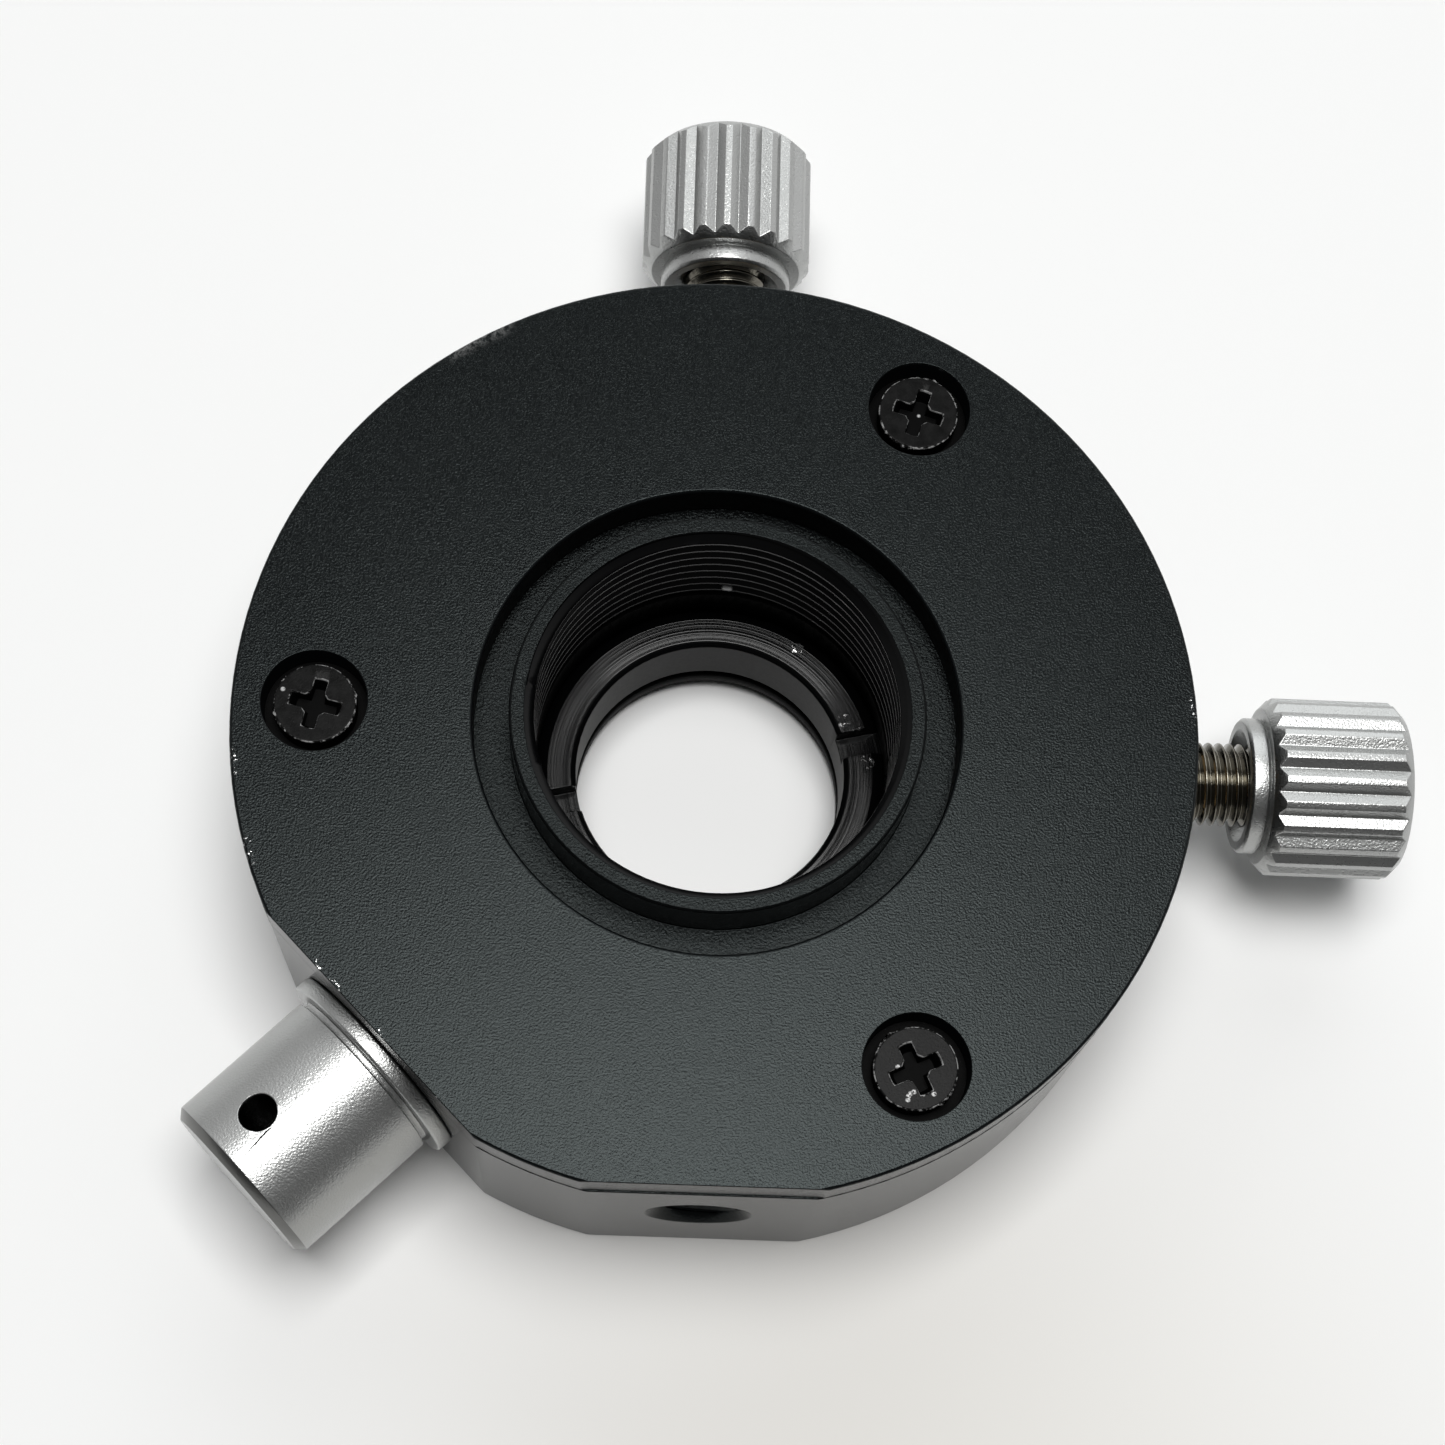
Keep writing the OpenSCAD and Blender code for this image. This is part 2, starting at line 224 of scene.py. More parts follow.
class Finish(Web):
    """A material with one main surface. Its patterns lie in the piece's own coordinates."""

    def __init__(self, name, **look):
        self.material = bpy.data.materials.new(name)
        super().__init__(self.material, "Object")
        self.skin = self.nodes["Principled BSDF"]
        for socket, given in look.items():
            self.set(socket.replace("_", " "), given)

    def set(self, socket, given):
        feed(given, self.skin.inputs[socket])

    def bump(self, height, depth):
        """Raises and lowers the surface in the shading, by the height times the depth in metres."""
        inputs = {"Height": height, "Distance": depth, "Strength": 1.0}
        self.set("Normal", self.add("ShaderNodeBump", inputs=inputs))


def grey(level):
    """A grey from 0, black, to 1, white."""
    return (level, level, level, 1)


print("shader tools ready")

# %% [markdown]
# ## The table
#
# The mount lies on white paper. Its white is its own colour and not more light, so it stays plain
# under any lamp. Close in front of the mount a painted shade darkens the paper to a slightly warm
# grey. A dimmer lamp could do that, but a patch in the paper's colour leaves the light on the metal
# alone.

# %% Floor
floor_size = 1.6
white_paper = grey(0.97)
shaded_paper = (0.84, 0.82, 0.785, 1)
painted_shade_middle = (10 * mm, -37 * mm, floor_z)
painted_shade_core, painted_shade_reach = 2 * mm, 40 * mm

bpy.ops.mesh.primitive_plane_add(size=floor_size, location=(0, 0, floor_z))
floor = bpy.context.object
floor.name = "floor"
paper = Finish("paper", Roughness=0.7)
# painted shade: the paper darkens to a warm grey near a point in front of the mount
paper_shade = paper.ease(paper.far_from(painted_shade_middle), painted_shade_core, painted_shade_reach)
paper.set("Base Color", paper.blend(paper_shade, shaded_paper, white_paper))
floor.data.materials.append(paper.material)
print("floor", floor_size, "m across")

# %% [markdown]
# ## The room
#
# Polished metal shows its surroundings, so the room needs more than one shade. It is white at the
# back and dark in front, grey on the left, and has a narrow dark strip in the ceiling, which the
# cover mirrors as its deepest black. Cards and walls could be built for this. A few smooth steps on
# the direction of a ray do the same with no geometry. The camera and the mirrored rays see this
# room, while the light that it sheds stays faint and plain.

# %% Room
front_level = 0.13
left_level = 0.55
ceiling_loss = 0.94
horizon_level = 0.3
shed_light = grey(0.05)

room = bpy.data.worlds.new("room")
bpy.context.scene.world = room
sky = Web(room, "Generated")
front_to_back = sky.ease(sky.y, -0.75, 0.6, low=front_level, high=1.0)
left_side = sky.ease(sky.x, -0.2, -0.75, low=1.0, high=left_level)
ceiling = sky.ease(sky.z, 0.82, 0.9) * sky.ease(sky.x * sky.x, 0.1, 0.05)
level = front_to_back * left_side * (1 - ceiling * ceiling_loss)
horizon = sky.ease(sky.z, 0.12, 0.0) * horizon_level
view = sky.blend(level.at_least(horizon), grey(0.0), grey(1.0))

ray = sky.nodes.new("ShaderNodeLightPath")
seeing = ("Is Camera Ray", "Is Glossy Ray", "Is Transmission Ray")
looked_at = sum(Value(ray.outputs[kind]) for kind in seeing)
background = sky.nodes["Background"]
feed(sky.blend(looked_at, shed_light, view), background.inputs["Color"])
print("room nodes:", len(sky.nodes))

# %% [markdown]
# ## The lamps
#
# The main light is a softbox almost overhead, with a wide window behind the mount. Black anodising
# is seen mostly by its sheen, so where the softbox stands decides which part of the cover lies dark
# and which part turns grey. Two large soft lamps are enough, and a third would only add a second
# shadow.

# %% Lamps
def softbox(name, place, size, power, colour):
    """A square lamp that looks at the mount."""
    data = bpy.data.lights.new(name, "AREA")
    data.size = size
    data.energy = power
    data.color = colour
    lamp = bpy.data.objects.new(name, data)
    lamp.location = place
    lamp.rotation_euler = (-Vector(place)).to_track_quat("-Z", "Y").to_euler()
    bpy.context.scene.collection.objects.link(lamp)
    print(name, "lamp,", power, "W")


softbox("key", place=(0.015, 0.012, 0.6), size=0.29, power=3.15, colour=(1.0, 1.0, 0.99))
softbox("window", place=(0.06, 0.58, 0.42), size=0.6, power=1.1, colour=(0.95, 0.99, 1.0))

# %% [markdown]
# ## Bead-blasted black anodising
#
# The body and the cover are blasted with fine beads before they are dyed black, which leaves
# dimples about a tenth of a millimetre wide. The dimples could be modelled, but there would be
# hundreds of thousands, so they are a fine bump. A cloudy change of roughness keeps the sheen from
# looking like paint.

# %% Blasted surface
dimple_size = 0.1 * mm
cool_tint = (0.88, 1.0, 1.0, 1)

blasted = Finish("blasted_anodising", Specular_IOR_Level=0.13, Specular_Tint=cool_tint)
dimples = blasted.noise(dimple_size, detail=2.0, roughness=0.6)
cloud = blasted.noise(5 * mm, detail=3.0)
blasted.bump(dimples, 0.017 * mm)
blasted.set("Roughness", 0.08 + cloud * 0.04 + dimples * 0.02)
print("blasted surface:", len(blasted.nodes), "nodes")

# %% [markdown]
# A knock takes the black skin off, and bare bright metal shows. It happens where two faces meet: in
# a few places round the rim and along the plunger's flat. One stretch of the rim is only rubbed
# grey. Each mark could be painted on, but a few places and a reach, broken up by noise, give the
# same ragged specks on the right edges. The seam between the cover and the body holds no light.

# %% Knocks, scuff and seam
rim_places = ((-21.5, -3.0, 7), (-20.3, -7.1, 7), (21.8, 1.2, 7))
flat_places = ((-17.4, -12.3, 7), (-16.5, -13.2, 7), (-14.5, -15.3, 7), (-11.7, -18.1, 7))
scuff_places = [(-11.8, 18.4, 7)]
bare_metal, grey_scuff, seam_black = grey(0.75), grey(0.14), grey(0.001)
black_skin = (0.0036, 0.0042, 0.0046, 1)

out = (blasted.x * blasted.x + blasted.y * blasted.y) ** 0.5
flat_out = (blasted.x + blasted.y) * -diagonal
at_face = blasted.ease(blasted.z, front_z - 0.25 * mm, front_z - 0.1 * mm)
at_rim = blasted.ease(out, body_r - 0.42 * mm, body_r - 0.3 * mm)
at_flat = blasted.ease(flat_out, plunger_flat - 0.3 * mm, plunger_flat - 0.15 * mm)
rim_knocks = at_rim * blasted.spots(rim_places, 0.9 * mm)
flat_knocks = at_flat * blasted.spots(flat_places, 0.5 * mm)
specks = blasted.ease(blasted.noise(0.16 * mm, detail=3.0, roughness=0.7), 0.6, 0.64)
bare = specks * at_face * (rim_knocks + flat_knocks)

haze = blasted.noise(0.35 * mm, detail=4.0, roughness=0.75)
scuff_band = blasted.ease(out, body_r - 0.7 * mm, body_r - 0.1 * mm)
scuff = scuff_band * blasted.spots(scuff_places, 2.1 * mm) * blasted.ease(haze, 0.4, 0.62)

from_seam = (blasted.z - cover_low.z) ** 2
in_seam = blasted.ease(from_seam, (0.07 * mm) ** 2, (0.05 * mm) ** 2)
skin = blasted.blend(in_seam, black_skin, seam_black)
skin = blasted.blend(scuff, skin, grey_scuff)
blasted.set("Base Color", blasted.blend(bare, skin, bare_metal))
blasted.set("Metallic", bare)
print("knocked places:", len(rim_places) + len(flat_places))

# %% [markdown]
# ## Cut walls and hollows
#
# The wall of the window is cut after blasting and stays dull. In the counterbores, in the screws'
# recesses and below the thread next to no light comes back at all. A lamp can't be kept out of
# these places, so their black is painted darker still, as painted shade. That makes two rougher and
# darker blacks. A painted glint, a white spot, lies in one screw's recess.

# %% Dull blacks
wall_marks_size = 0.2 * mm
recess_glint_places = [(9.23, 16.01, 5.7)]

bored_black = Finish("bored_anodising", Specular_IOR_Level=0.08)
bore_marks = bored_black.noise(wall_marks_size)
bored_black.set("Base Color", bored_black.blend(bore_marks, grey(0.0010), grey(0.0022)))
bored_black.set("Roughness", 0.4 + bore_marks * 0.1)

# painted shade: a near-black for the counterbores, the screws' recesses and the bore below the
# thread
painted_shade_black = Finish("painted_shade_anodising", Specular_IOR_Level=0.03)
hollow_marks = painted_shade_black.noise(wall_marks_size)
hollow_shade = painted_shade_black.blend(hollow_marks, grey(0.0008), grey(0.0016))
# painted highlight: a white spot in one screw's recess
recess_glint = painted_shade_black.spots(recess_glint_places, 0.15 * mm)
painted_shade_black.set("Base Color", painted_shade_black.blend(recess_glint, hollow_shade, grey(0.8)))
painted_shade_black.set("Roughness", 0.45 + hollow_marks * 0.1)
print("dull blacks:", bored_black.material.name, painted_shade_black.material.name)

# %% [markdown]
# ## The cell's two blacks
#
# The cell's flange and lip are blasted like the body, but dyed deeper. Its bore is turned and left
# smooth, so each crest of the thread can draw one thin bright line on black. Two light grey specks
# lie inside it.

# %% Blacks of the cell
bore_speck_places = ((0.46, 8.39, 1.76), (4.11, 7.4, 0.2))
bore_skin = (0.0012, 0.0013, 0.0015, 1)

deep_black = Finish("deep_blasted_anodising", Specular_IOR_Level=0.09, Specular_Tint=cool_tint)
deep_dimples = deep_black.noise(dimple_size, detail=2.0, roughness=0.6)
deep_black.bump(deep_dimples, 0.026 * mm)
deep_black.set("Base Color", (0.0027, 0.0030, 0.0032, 1))
deep_black.set("Roughness", 0.08 + deep_dimples * 0.03)

smooth_black = Finish("smooth_anodising", Specular_IOR_Level=0.18)
streaks = smooth_black.noise(0.3 * mm)
smooth_black.bump(streaks, 0.003 * mm)
# two light grey specks on the bore, at given places
bore_specks = smooth_black.spots(bore_speck_places, 0.3 * mm)
smooth_black.set("Base Color", smooth_black.blend(bore_specks, bore_skin, grey(0.5)))
smooth_black.set("Roughness", 0.2 + streaks * 0.08)
print("cell blacks:", deep_black.material.name, smooth_black.material.name)

# %% [markdown]
# ## The ring's turned face
#
# The ring's face keeps the fine circles that the lathe's tool left, which spread the light across
# them and not along them, so it lights up in a fan. Noise that reads nothing but the distance from
# the axis draws such circles, and no seam can show in them. The slots' corners have bright burrs.

# %% Black of the ring
burr_places = (
    (6.36, 2.87, -1), (6.62, 1.45, -1), (7.1, 2.14, -1),
    (7.6, 0.83, -1), (-6.7, -1.5, -1), (4.11, 6.4, -1),
)
turned_skin = (0.002, 0.0021, 0.0023, 1)

turned_black = Finish("turned_anodising", Specular_IOR_Level=0.25)
from_axis = (turned_black.x * turned_black.x + turned_black.y * turned_black.y) ** 0.5
radius_only = turned_black.add("ShaderNodeCombineXYZ", inputs={"X": from_axis})
turning = turned_black.noise(0.05 * mm, detail=2.0, place=radius_only)
turned_black.bump(turning, 0.019 * mm)
ragged = turned_black.noise(0.25 * mm, detail=3.0, roughness=0.7)
burrs = turned_black.ease(ragged, 0.55, 0.6) * turned_black.spots(burr_places, 0.42 * mm)
turned_black.set("Base Color", turned_black.blend(burrs, turned_skin, grey(0.6)))
turned_black.set("Metallic", burrs)
turned_black.set("Roughness", 0.08 + turning * 0.04)
print("burred places:", len(burr_places))

# %% [markdown]
# ## Satin silver, steel and bronze
#
# The knobs and the barrel are satin: a fine grain that breaks up the edge of a highlight into
# sparks. The fine screws are dark stainless steel, the bushings are bronze, and the hard parts are
# ground. All are bare metal that differs in colour, grain and polish, so one function makes them.

# %% Metals
def metal(name, colour, roughness, spread, grain_size, grain_depth):
    """A bare metal with a random grain, which also makes its sheen uneven."""
    finish = Finish(name, Metallic=1.0)
    grain = finish.noise(grain_size, detail=2.0)
    patches = finish.noise(grain_size * 20, detail=2.0)
    finish.colour = finish.blend(patches, colour, [part * 0.9 for part in colour[:3]] + [1])
    finish.set("Base Color", finish.colour)
    finish.set("Roughness", roughness + grain * spread)
    finish.bump(grain, grain_depth)
    return finish


silver = (0.42, 0.425, 0.42, 1)
shaded_silver_colour = (0.16, 0.16, 0.155, 1)
stainless_colour = (0.17, 0.16, 0.135, 1)
steel_colour = (0.62, 0.63, 0.64, 1)
bronze_colour = (0.62, 0.43, 0.22, 1)

# after the name and the colour: roughness, its spread, the grain's size and the grain's depth
satin = metal("satin_silver", silver, 0.22, 0.16, 0.1 * mm, 0.02 * mm)
barrel_satin = metal("barrel_satin", silver, 0.24, 0.16, 0.1 * mm, 0.02 * mm)
# painted shade: a darker copy of the satin for the barrel end's slanted edge
shaded_silver = metal("shaded_silver", shaded_silver_colour, 0.25, 0.1, 0.06 * mm, 0.005 * mm)
stainless = metal("dark_stainless", stainless_colour, 0.12, 0.1, 0.08 * mm, 0.004 * mm)
ground = metal("ground_steel", steel_colour, 0.2, 0.05, 0.05 * mm, 0.001 * mm)
bronze = metal("bushing_bronze", bronze_colour, 0.25, 0.08, 0.08 * mm, 0.002 * mm)
print("materials so far:", len(bpy.data.materials))

# %% [markdown]
# The barrel's cross hole is left as drilled. Its wall is painted near black, as painted shade, and
# a thin bright line is painted on one side of its mouth, as a painted highlight. The hole's wall
# could be given a finish of its own, but a mask by the distance from the barrel's axis also holds
# where the wall meets the outside.

# %% The barrel's cross hole
hole_at = 26.8 * mm
hole_r = 0.875 * mm
beside_core, beside_reach = 1.2 * mm, 1.4 * mm
inner_r, outer_r = 4.05 * mm, 4.2 * mm
highlight_inner, highlight_outer = 0.08 * mm, 0.14 * mm

along = (barrel_satin.x + barrel_satin.y) * -diagonal
across = (barrel_satin.y - barrel_satin.x) * diagonal
off_core = (across * across + barrel_satin.z * barrel_satin.z) ** 0.5
beside_hole = barrel_satin.ease((along - hole_at) ** 2, beside_reach ** 2, beside_core ** 2)
painted_hole_shade = barrel_satin.ease(off_core, outer_r, inner_r) * beside_hole
from_hole = ((along - hole_at) ** 2 + across * across) ** 0.5
mouth = barrel_satin.ease(from_hole, hole_r + highlight_outer, hole_r + highlight_inner)
# painted highlight: a bright line on one side of the hole's mouth
rim_highlight = mouth * barrel_satin.ease(across, 0.2 * mm, 0.5 * mm)
with_rim_highlight = barrel_satin.blend(rim_highlight, barrel_satin.colour, grey(0.9))
# painted shade in the hole, and the painted highlight on one side of its mouth
barrel_satin.set("Base Color", barrel_satin.blend(painted_hole_shade, with_rim_highlight, grey(0.02)))
print("cross hole", round(2 * hole_r / mm, 2), "mm across")

# %% [markdown]
# ## Black oxide
#
# The small screws are steel with a thin black oxide. It is rubbed off wherever a driver or a finger
# has caught an edge, so the rims of the head and of the cross recess show broken bright lines. The
# edges are found by their height: a broken edge lies a hair below the head's top. A few painted
# glints, light grey spots at given places, are added to that wear, and the walls inside the recess
# are painted darker, as painted shade.

# %% The cover screws' finish
screw_glint_places = (
    (9.15, 15.76, 6.2), (8.33, -15.77, 6.6), (8.9, -16.35, 6.3), (8.78, -17.22, 6.6),
    (8.8, -17.05, 6.6), (8.9, -16.92, 6.6), (9.04, -16.85, 6.6), (9.44, -16.93, 6.6),
    (9.92, -16.91, 6.6), (-19.73, 0.61, 6.6), (-17.92, 0.15, 6.2),
)
screw_glint_reach = 0.13 * mm

oxide = Finish("black_oxide", Metallic=0.1, Specular_IOR_Level=0.045)
stains = oxide.noise(0.5 * mm, detail=3.0)
pits = oxide.noise(0.08 * mm)
inside = oxide.ease(oxide.z, head_top - 0.06 * mm, head_top - 0.16 * mm)
edge = oxide.ease(oxide.z, head_top - 0.006 * mm, head_top - 0.02 * mm) * (1 - inside)
wear_and_glints = edge * oxide.ease(oxide.noise(0.4 * mm, detail=3.0, roughness=0.7), 0.45, 0.6)
# painted highlights: light grey glints at the listed places, added to the rubbed edges
wear_and_glints = wear_and_glints + oxide.spots(screw_glint_places, screw_glint_reach) * oxide.ease(pits, 0.35, 0.45)
plain = oxide.blend(stains, grey(0.003), grey(0.012))
# painted shade: the walls inside the recess are painted darker
plain = oxide.blend(inside, plain, grey(0.002))
oxide.set("Base Color", oxide.blend(wear_and_glints, plain, grey(0.45)))
oxide.set("Roughness", 0.14 + stains * 0.24 + inside * 0.2)
oxide.bump(pits, 0.006 * mm)
print("finishes:", len(bpy.data.materials))

# %% [markdown]
# ## Working on a copy of a CAD piece
#
# A CAD piece arrives as loose triangles with knife-sharp edges. It could be modelled again from a
# primitive, but its shape is right and only its edges are not. So it is copied, its triangles are
# merged, and its flat faces are joined up again. The copy then stands for the node, which stays in
# the model for the physics.

# %% A merged copy
merge_distance = 0.0005 * mm
flat_angle = radians(0.5)


def only(piece):
    """Makes one object the selected and active one."""
    bpy.ops.object.select_all(action="DESELECT")
    piece.select_set(True)
    bpy.context.view_layer.objects.active = piece


def copy_of(node, name):
    """A merged copy of a CAD node's mesh, with its flat faces joined up."""
    mesh = nodes[node].data.copy()
    mesh.materials.clear()
    piece = bpy.data.objects.new(name, mesh)
    bpy.context.scene.collection.objects.link(piece)
    only(piece)
    bpy.ops.object.mode_set(mode="EDIT")
    bpy.ops.mesh.select_all(action="SELECT")
    bpy.ops.mesh.remove_doubles(threshold=merge_distance)
    bpy.ops.mesh.dissolve_limited(angle_limit=flat_angle)
    bpy.ops.object.mode_set(mode="OBJECT")
    bpy.ops.mesh.customdata_custom_splitnormals_clear()
    return piece


print("copies merge corners nearer than", merge_distance / mm, "mm")

# %% [markdown]
# ## Breaking the edges
#
# No real edge is knife-sharp: every one is broken a little with a file or in a tumbler, and that
# thin facet is what catches the light. A Bevel modifier runs it along all sharp edges at once.
# The large faces then keep their own flat shading through weighted normals. A bevel can push a
# corner a hair past the face beside it, so each corner is held in the box that the piece had.

# %% Modifiers and broken edges
sharp_angle = 30
smooth_angle = 50
face_weight = 90


def apply(piece, kind, **settings):
    """Adds a modifier, gives it its settings and applies it."""
    only(piece)
    modifier = piece.modifiers.new(kind, kind)
    for setting, choice in settings.items():
        setattr(modifier, setting, choice)
    bpy.ops.object.modifier_apply(modifier=modifier.name)


def break_edges(piece, width, segments=2):
    """A narrow bevel on every sharp edge, which never makes the piece larger."""
    corners = [corner.co.copy() for corner in piece.data.vertices]
    low = [min(corner[axis] for corner in corners) for axis in range(3)]
    high = [max(corner[axis] for corner in corners) for axis in range(3)]
    apply(piece, "BEVEL", width=width, segments=segments, limit_method="ANGLE",
          angle_limit=radians(sharp_angle), use_clamp_overlap=False)
    for corner in piece.data.vertices:
        corner.co = [min(max(corner.co[axis], low[axis]), high[axis]) for axis in range(3)]
    only(piece)
    bpy.ops.object.shade_smooth_by_angle(angle=radians(smooth_angle))
    apply(piece, "WEIGHTED_NORMAL", mode="FACE_AREA", weight=face_weight, keep_sharp=True)


print("edges break where faces meet at over", sharp_angle, "degrees")

# %% [markdown]
# ## Dressing a piece
#
# A finished copy needs three things: its material, the body that it rides on, and the node that it
# stands for. Some pieces have a second finish, such as a bore that was cut after blasting. A mask
# in the material could do that, but a gloss setting must be the same all over a material, so those
# faces get a material of their own. They are chosen by all their corners, because the middle of a
# large ring-shaped face lies in its hole.

# %% Dress
def dress(piece, node, body, finish):
    """Gives a finished piece its material, lets it ride, and has it stand for its node."""
    piece.data.materials.clear()
    piece.data.materials.append(finish.material)
    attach(piece, body)
    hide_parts(node)
    print(piece.name, len(piece.data.polygons), "faces")


def dress_part(piece, finish, chosen):
    """Gives a further finish to faces whose corners, with the face's normal, all pass the test."""
    piece.data.materials.append(finish.material)
    last = len(piece.data.materials) - 1
    corners = piece.data.vertices
    for face in piece.data.polygons:
        if all(chosen(corners[index].co, face.normal) for index in face.vertices):
            face.material_index = last


print("nodes to dress:", len(nodes))

# %% [markdown]
# ## Cutting a thread
#
# A thread is cut on the lathe by a pointed tool that moves one pitch for every turn of the work.
# The same is done here: a small wedge is swept round by a Screw modifier, which gives a coil, and
# the coil is taken away from the piece with a Boolean. The coil's wedge is a little narrower than
# the pitch at its wide end, so its turns never touch, and a thin flat is left on each crest, as on
# a real thread.

# %% The coil that cuts a thread
flank_slope = tan(radians(30))
point_share = 0.06  # half the width of the tool's point, as a share of the pitch
overreach_share = 0.12  # how far the tool reaches past the crest


def thread_coil(name, pitch, crest_r, root_r, start, end, steps):
    """A right-hand coil about Z, from start to end, with its point at the root."""
    inward = 1 if root_r > crest_r else -1
    overreach = overreach_share * pitch
    point_half = point_share * pitch
    wide_half = point_half + (abs(root_r - crest_r) + overreach) * flank_slope
    wide_r = crest_r - inward * overreach
    corners = [
        (root_r, -point_half), (root_r, point_half), (wide_r, wide_half), (wide_r, -wide_half),
    ]
    mesh = bpy.data.meshes.new(name)
    mesh.from_pydata([(r, 0, start + z) for r, z in corners], [(0, 1), (1, 2), (2, 3), (3, 0)], [])
    coil = bpy.data.objects.new(name, mesh)
    bpy.context.scene.collection.objects.link(coil)
    turns = round((end - start) / pitch)
    apply(coil, "SCREW", axis="Z", angle=2 * pi, screw_offset=pitch, iterations=turns,
          steps=steps, render_steps=steps, use_merge_vertices=True)
    bpy.ops.object.mode_set(mode="EDIT")
    bpy.ops.mesh.select_mode(type="VERT")
    bpy.ops.mesh.select_all(action="DESELECT")
    bpy.ops.mesh.select_non_manifold()
    bpy.ops.mesh.fill_holes(sides=8)
    bpy.ops.mesh.select_all(action="SELECT")
    bpy.ops.mesh.normals_make_consistent(inside=False)
    bpy.ops.object.mode_set(mode="OBJECT")
    print(name, turns, "turns,", len(coil.data.polygons), "faces")
    return coil


def turn(piece, angle, axis):
    """Turns a piece about the origin and settles the turn into its mesh."""
    piece.data.transform(Matrix.Rotation(radians(angle), 4, axis))


def cut(piece, tool):
    """Takes the tool away from the piece, and throws the tool away."""
    apply(piece, "BOOLEAN", operation="DIFFERENCE", object=tool, solver="EXACT")
    bpy.data.objects.remove(tool)


# %% [markdown]
# ## The body
#
# The body is a thick round plate with two flats. The foot's hole takes the post's stud, so it gets
# a real thread, which is seen from the front as a few bright crests in the dark.

# %% Body
edge_width = 0.05 * mm
post_pitch = 0.7 * mm
post_bore_r = 1.65 * mm
post_root_r = 2.02 * mm
post_thread_start, post_thread_end = 16.9 * mm, 22.5 * mm

post_coil = thread_coil("post_coil", post_pitch, post_bore_r, post_root_r,
                        post_thread_start, post_thread_end, steps=40)
turn(post_coil, 90, "X")
body = copy_of("housing", "body")
cut(body, post_coil)
break_edges(body, edge_width)
dress(body, "housing", "housing", blasted)

# %% [markdown]
# ## The cover
#
# The cover closes the body and leaves the cell a window. The window and the three counterbores
# are cut after blasting, so their walls are told from the face by their depth, and from each other
# by their distance from the axis. The counterbores are painted near black, as painted shade.

# %% Cover
below_face = front_z - 0.15 * mm
window_reach = 12 * mm
counterbore_reach = 20.85 * mm

cover = copy_of("cover_plate", "cover")
break_edges(cover, edge_width)
dress(cover, "cover_plate", "housing", blasted)
dress_part(cover, bored_black, lambda corner, normal:
           corner.z < below_face and corner.xy.length < window_reach)
# painted shade: the counterbores are painted near black
dress_part(cover, painted_shade_black, lambda corner, normal:
           corner.z < below_face and window_reach < corner.xy.length < counterbore_reach)

# %% [markdown]
# ## The threaded cell
#
# The cell's thread is the first thing that the eye finds inside the mount: a dozen fine rings that
# catch the light one by one. It starts in the countersink at the lip and stops short of the ring.
# Its root stays a little clear of the countersink's own edge, because a Boolean whose two shapes
# share an edge can leave a smudge there.

# %% Cell with its thread
cell_pitch = 0.8 * mm
cell_bore_r = 8.33 * mm
cell_root_r = 8.74 * mm
cell_thread_end = 1.02 * mm
bore_reach = cell_root_r + 0.06 * mm
unlit_below = cell_thread_end + 0.35 * mm

cell = copy_of("lens_cell", "threaded_cell")
cell_coil = thread_coil("cell_coil", cell_pitch, cell_bore_r, cell_root_r,
                        cell_thread_end, lip_z + cell_pitch, steps=128)
cut(cell, cell_coil)
break_edges(cell, 0.03 * mm, segments=1)
dress(cell, "lens_cell", "lens_cell", deep_black)
dress_part(cell, smooth_black, lambda corner, normal: corner.xy.length < bore_reach)
# painted shade: the bore below the thread is painted near black
dress_part(cell, painted_shade_black, lambda corner, normal:
           corner.xy.length < bore_reach and corner.z < unlit_below)

# %% [markdown]
# ## The retaining ring
#
# The ring screws down on the lens and is turned by its two slots. Its face shows the lathe's
# circles, and its bore is dull.

# %% Ring
ring_bore_reach = 6.5 * mm

ring = copy_of("retaining_ring", "ring")
break_edges(ring, 0.04 * mm)
dress(ring, "retaining_ring", "lens_cell", turned_black)
dress_part(ring, bored_black, lambda corner, normal: corner.xy.length < ring_bore_reach)

# %% [markdown]
# ## Adjuster screws and knobs
#
# Both adjusters are alike, so each step below runs once for X and once for Y. The coil is made
# along Z and laid down along the screw's own axis before it cuts.

# %% Adjusters
fine_pitch = 0.5 * mm
fine_r = 2.0 * mm
fine_root_r = 1.69 * mm
fine_start = bushing_low.x + 0.2 * mm
fine_end = knob_low.x + 0.6 * mm

for side in ("x", "y"):
    screw = copy_of(side + "_adjuster_screw", side + "_fine_screw")
    coil = thread_coil(side + "_coil", fine_pitch, fine_r, fine_root_r,
                       fine_start, fine_end, steps=48)
    turn(coil, 90, "Y")
    if side == "y":
        turn(coil, 90, "Z")
    cut(screw, coil)
    break_edges(screw, 0.02 * mm, segments=1)
    dress(screw, side + "_adjuster_screw", side + "_screw", stainless)

    knob = copy_of(side + "_knob", side + "_fluted_knob")
    break_edges(knob, 0.035 * mm)
    dress(knob, side + "_knob", side + "_screw", satin)
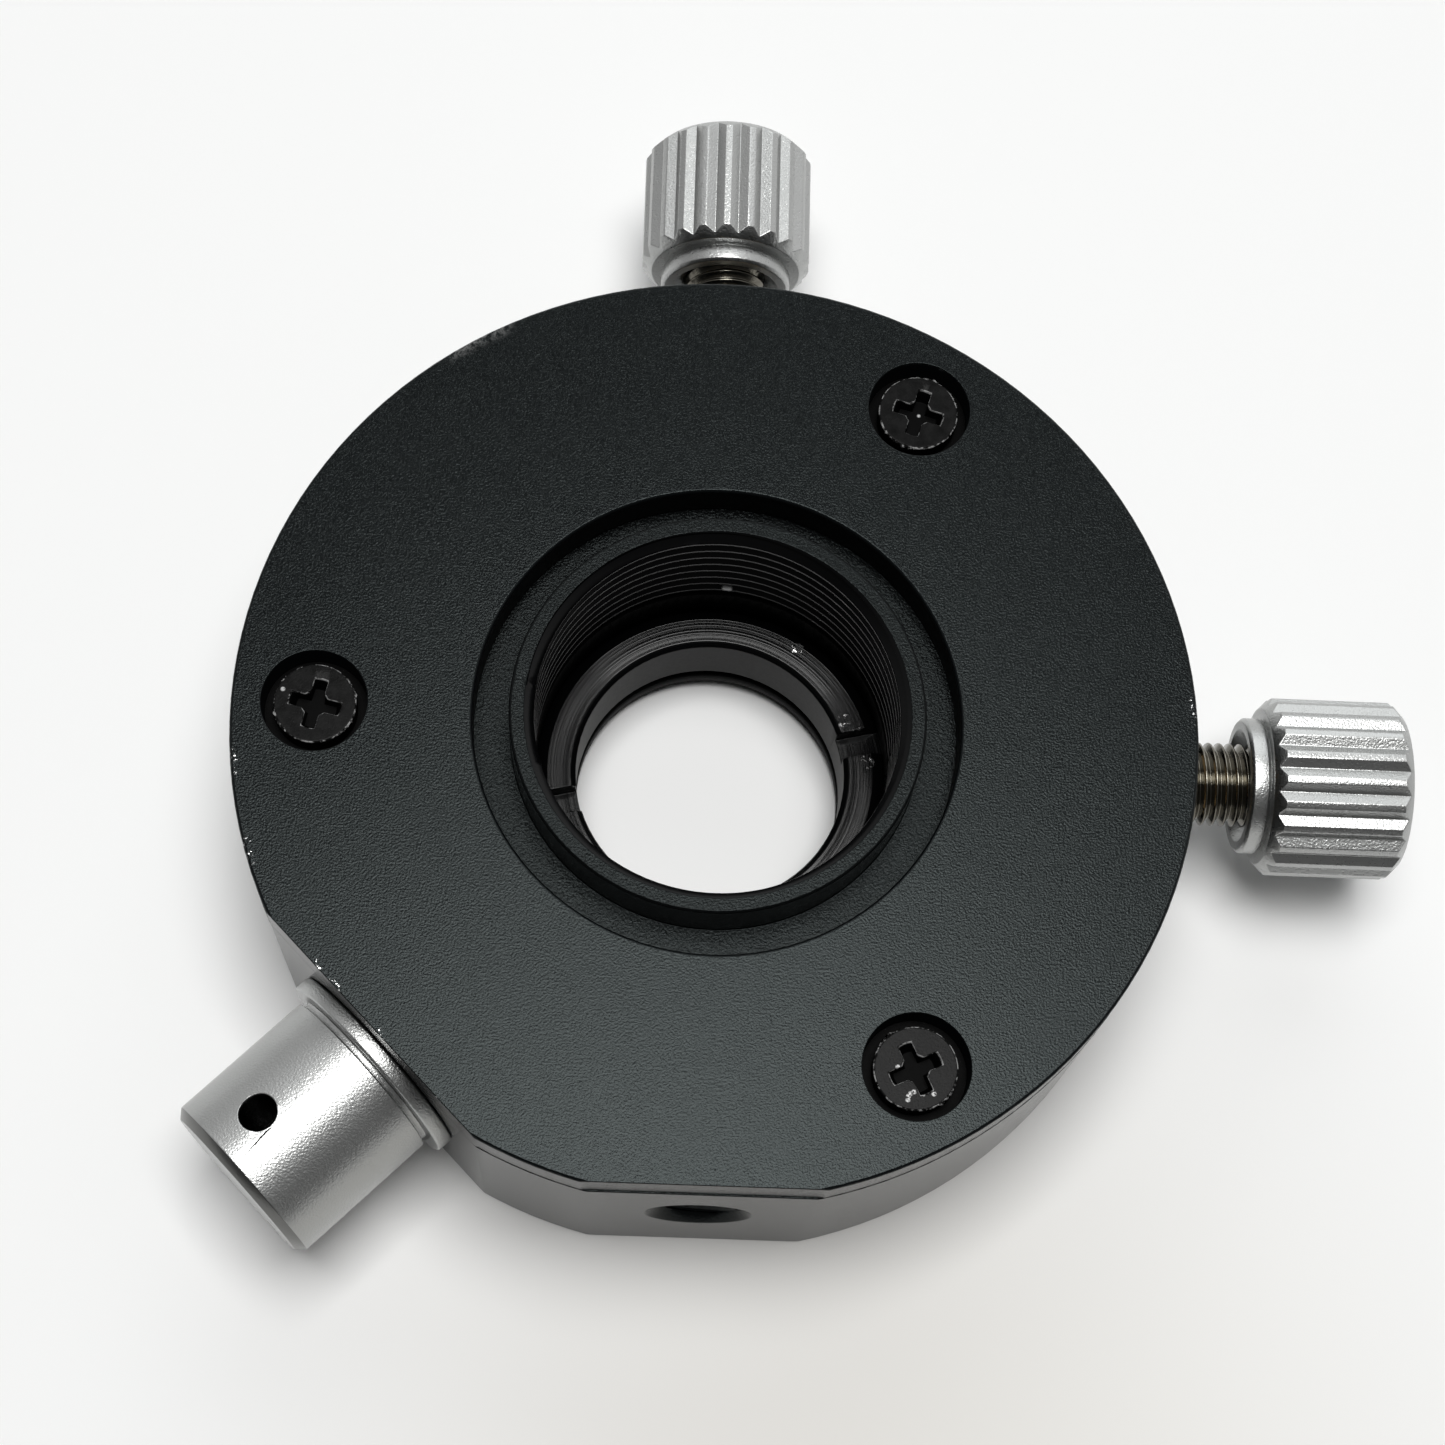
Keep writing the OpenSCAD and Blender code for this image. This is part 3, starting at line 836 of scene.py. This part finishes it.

# %% [markdown]
# ## The plunger's barrel
#
# The barrel holds the spring, and its cross hole takes a bar to turn it by. The flat strips that
# the hole leaves in the round wall would shade as streaks. More strips would only thin the
# streaks, so the shading of the round wall is pointed straight out from its axis instead. The end's
# slanted edge gets a darker copy of the satin, as painted shade.

# %% Barrel
plunger_axis = Vector((-1, -1, 0)).normalized()
barrel_r = 4.27 * mm
barrel_end = 29.4 * mm
near_end = barrel_end - 0.5 * mm
wall_tolerance = 0.01 * mm
straight_out = 0.99
slant_low, slant_high = 0.4, 0.95


def true_round(piece, axis, radius):
    """Points the shading of a round wall straight out from its axis."""
    mesh = piece.data
    shading = [corner.vector.copy() for corner in mesh.corner_normals]
    for face in mesh.polygons:
        for index in face.loop_indices:
            corner = mesh.vertices[mesh.loops[index].vertex_index].co
            from_line = corner - axis * corner.dot(axis)
            outward = from_line.normalized()
            on_wall = abs(from_line.length - radius) < wall_tolerance
            if on_wall and face.normal.dot(outward) > straight_out:
                shading[index] = outward
    mesh.normals_split_custom_set(shading)


barrel = copy_of("plunger_barrel", "barrel")
break_edges(barrel, edge_width)
true_round(barrel, plunger_axis, barrel_r)
dress(barrel, "plunger_barrel", "housing", barrel_satin)
# painted shade on the end's slanted edge
dress_part(barrel, shaded_silver, lambda corner, normal:
           corner.dot(plunger_axis) > near_end
           and slant_low < normal.dot(plunger_axis) < slant_high)

# %% [markdown]
# ## The cover screws
#
# Three small screws with domed heads and a cross recess hold the cover. Each is a copy of its own
# node, because each was left at a different turn. The recess below the head's top is painted near
# black, as painted shade.

# %% Cover screws
recess_top = head_top - 0.1 * mm

for number in (1, 2, 3):
    name = "cover_screw_" + str(number)
    screw = copy_of(name, "small_screw_" + str(number))
    break_edges(screw, 0.045 * mm)
    dress(screw, name, "housing", oxide)
    dress_part(screw, painted_shade_black, lambda corner, normal: corner.z < recess_top)

# %% [markdown]
# ## The pieces that stay as they are
#
# The bushings, balls, pads, spring and pin are hidden, or nearly so, and their shapes are right.
# They could be copied too, but a better material is all that they need.

# %% Finish of the kept nodes
node_finish = {
    "x_pad": ground, "y_pad": ground, "x_ball": ground, "y_ball": ground,
    "x_bushing": bronze, "y_bushing": bronze,
    "plunger_spring": stainless, "plunger_pin": ground,
}
for name, finish in node_finish.items():
    nodes[name].data.materials.clear()
    nodes[name].data.materials.append(finish.material)
print("kept as they are:", len(node_finish))
